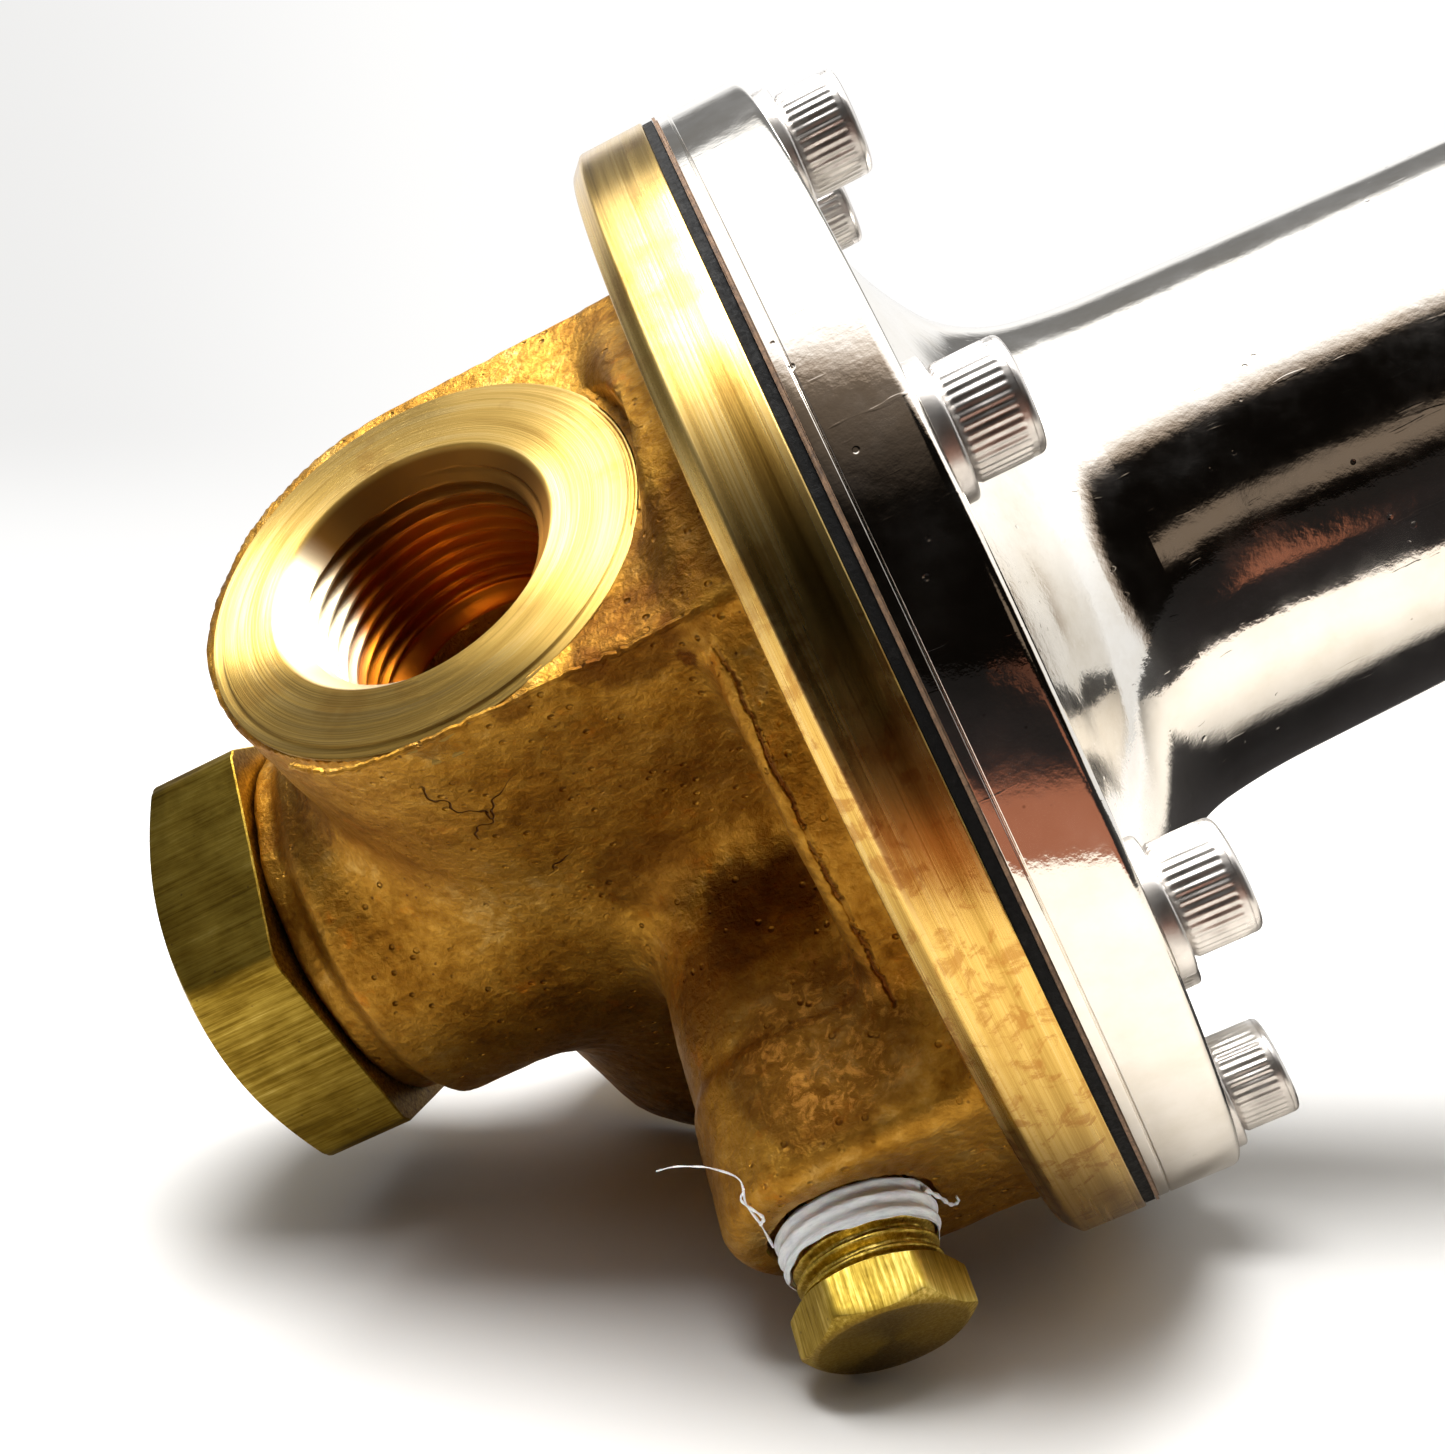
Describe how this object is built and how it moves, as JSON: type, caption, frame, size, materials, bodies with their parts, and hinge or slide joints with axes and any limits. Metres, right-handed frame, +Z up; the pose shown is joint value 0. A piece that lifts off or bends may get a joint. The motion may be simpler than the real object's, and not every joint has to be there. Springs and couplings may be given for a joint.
{
  "type": "pressure reducing valve",
  "caption": "Spring-loaded diaphragm pressure reducing valve: cast body with in-line threaded ports, wide bolted diaphragm flange, tall spring bonnet, adjusting screw and side gauge port.",
  "frame": {"origin": "centre of the bottom plug's hexagonal end face, on the main axis", "axes": "+Z up the main axis towards the bonnet, +X towards the outlet port, -X towards the inlet port, -Y towards the gauge port"},
  "size_m": [0.1232, 0.1296, 0.222],
  "materials": {
    "cast_brass": "cast and tumbled brass, machined on the flange and port faces",
    "bar_brass": "drawn hexagon bar, turned ends",
    "nickel_plate": "bright nickel plate over a casting",
    "stainless_steel": "bright stainless steel",
    "zinc_plated_steel": "zinc plated steel",
    "spring_steel": "oiled spring steel",
    "black_rubber": "matt black rubber with fabric",
    "fibre_sheet": "brown fibre sheet",
    "thread_tape": "soft white thread tape"
  },
  "bodies": {
    "housing": {"body": "cast_brass", "bottom_plug": "bar_brass", "bottom_plug_o_ring": "black_rubber", "seat_ring": "stainless_steel", "diaphragm": "black_rubber", "diaphragm_gasket": "fibre_sheet", "bonnet": "nickel_plate", "washer_1": "stainless_steel", "washer_2": "stainless_steel", "washer_3": "stainless_steel", "washer_4": "stainless_steel", "washer_5": "stainless_steel", "washer_6": "stainless_steel", "washer_7": "stainless_steel", "washer_8": "stainless_steel", "cap_screw_1": "stainless_steel", "cap_screw_2": "stainless_steel", "cap_screw_3": "stainless_steel", "cap_screw_4": "stainless_steel", "cap_screw_5": "stainless_steel", "cap_screw_6": "stainless_steel", "cap_screw_7": "stainless_steel", "cap_screw_8": "stainless_steel", "poppet_spring": "spring_steel", "range_spring": "spring_steel"},
    "valve_stack": {"poppet": "bar_brass", "poppet_disc": "black_rubber", "stem": "stainless_steel", "lower_pressure_plate": "bar_brass", "upper_pressure_plate": "zinc_plated_steel", "stack_nut": "zinc_plated_steel"},
    "spring_button": {"spring_button": "zinc_plated_steel"},
    "adjusting_screw": {"adjusting_screw": "zinc_plated_steel"},
    "lock_nut": {"lock_nut": "zinc_plated_steel"},
    "tape_carrier": {"gauge_plug_tape": "thread_tape"},
    "gauge_plug": {"gauge_plug": "bar_brass"}
  },
  "joints": [
    {"name": "valve_stroke", "type": "slide", "parent": "housing", "child": "valve_stack", "axis": [0, 0, 1], "range_m": [-0.0025, 0], "stiffness_N_per_m": 3000, "springref_m": 0.004, "deforming": ["diaphragm", "poppet_spring"]},
    {"name": "adjuster_travel", "type": "slide", "parent": "housing", "child": "spring_button", "axis": [0, 0, 1], "range_m": [-0.009, 0.003], "deforming": ["range_spring"]},
    {"name": "adjuster_turn", "type": "hinge", "parent": "spring_button", "child": "adjusting_screw", "pos_m": [0, 0, 0.2], "axis": [0, 0, 1], "range_deg": [-2160, 720]},
    {"name": "lock_nut_turn", "type": "hinge", "parent": "housing", "child": "lock_nut", "pos_m": [0, 0, 0.201], "axis": [0, 0, 1], "range_deg": [0, 360]},
    {"name": "gauge_plug_travel", "type": "slide", "parent": "housing", "child": "tape_carrier", "axis": [0, -1, 0], "range_m": [0, 0.00668]},
    {"name": "gauge_plug_turn", "type": "hinge", "parent": "tape_carrier", "child": "gauge_plug", "pos_m": [0, -0.06, 0.0561], "axis": [0, -1, 0], "range_deg": [0, 1800]}
  ],
  "couplings": [
    {"joint": "adjuster_turn", "follows": "adjuster_travel", "rad_per_m": 4188.8},
    {"joint": "gauge_plug_turn", "follows": "gauge_plug_travel", "rad_per_m": 4699.5}
  ]
}
